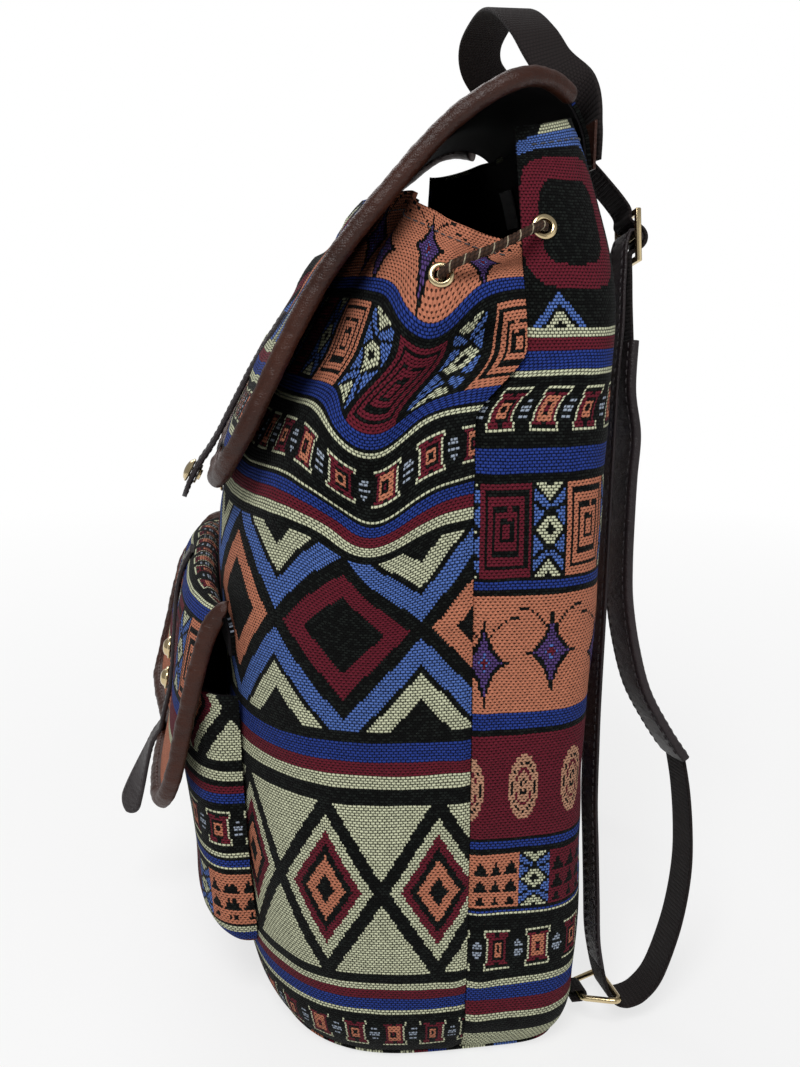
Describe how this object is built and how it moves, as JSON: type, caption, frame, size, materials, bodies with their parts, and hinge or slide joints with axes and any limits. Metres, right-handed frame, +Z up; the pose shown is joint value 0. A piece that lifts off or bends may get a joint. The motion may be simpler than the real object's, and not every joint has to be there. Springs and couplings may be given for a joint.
{
  "type": "backpack",
  "caption": "Soft drawstring backpack with a bound top flap, a front pocket under its own flap, a grab handle and adjustable webbing shoulder straps on triangle rings.",
  "frame": {"origin": "middle of the flat base where the bag stands, at mount base", "axes": "+Z up, the bag's height; +Y towards the shoulder straps, so the pocket and the flap tip face -Y; X across the width"},
  "size_m": [0.2886, 0.2778, 0.4751],
  "materials": {
    "woven_fabric": "coarse jacquard weave in blue, maroon, salmon, cream and black bands",
    "lining": "plain black woven lining",
    "label": "blank grey woven tab",
    "brown_trim": "soft brown coated cloth with a low sheen",
    "strap_trim": "dark brown-grey coated cloth, stitched along the edges",
    "webbing": "ribbed black-brown webbing",
    "cord": "twisted brown cord with a pale thread",
    "gold_metal": "polished pale gold plate"
  },
  "bodies": {
    "bag": {"front_panel": "woven_fabric", "back_panel": "woven_fabric", "flap_fabric": "woven_fabric", "pocket_shell": "woven_fabric", "pocket_flap": "woven_fabric", "base_panel": "woven_fabric", "front_lining": "lining", "back_lining": "lining", "base_lining": "lining", "flap_lining": "lining", "pocket_lining": "lining", "pocket_flap_lining": "lining", "inner_label": "label", "flap_binding": "brown_trim", "pocket_flap_binding": "brown_trim", "anchor_patch": "brown_trim", "flap_strap": "strap_trim", "pocket_strap": "strap_trim", "strap_pad_right": "strap_trim", "strap_pad_left": "strap_trim", "strap_return_right": "strap_trim", "strap_return_left": "strap_trim", "handle": "webbing", "strap_upper_right": "webbing", "strap_upper_left": "webbing", "strap_webbing_right": "webbing", "strap_webbing_left": "webbing", "ring_tab_right": "webbing", "ring_tab_left": "webbing", "drawstring": "cord", "cord_knot_right": "cord", "cord_knot_left": "cord", "slider_right": "gold_metal", "slider_left": "gold_metal", "flap_snap_cap": "gold_metal", "flap_snap_back": "gold_metal", "body_snap_socket": "gold_metal", "pocket_stud_upper": "gold_metal", "pocket_stud_lower": "gold_metal", "pocket_snap_socket": "gold_metal", "eyelet_front_1": "gold_metal", "eyelet_front_2": "gold_metal", "eyelet_front_3": "gold_metal", "eyelet_front_4": "gold_metal", "eyelet_wing_5": "gold_metal", "eyelet_wing_6": "gold_metal"},
    "ring_right": {"ring_right": "gold_metal"},
    "ring_left": {"ring_left": "gold_metal"}
  },
  "joints": [
    {"name": "ring_right_swing", "type": "hinge", "parent": "bag", "child": "ring_right", "pos_m": [0.1119, 0.0788, 0.013], "axis": [0.9819, 0, 0.1895], "range_deg": [0, 18]},
    {"name": "ring_left_swing", "type": "hinge", "parent": "bag", "child": "ring_left", "pos_m": [-0.1119, 0.0788, 0.013], "axis": [0.9819, 0, -0.1895], "range_deg": [0, 18]}
  ]
}
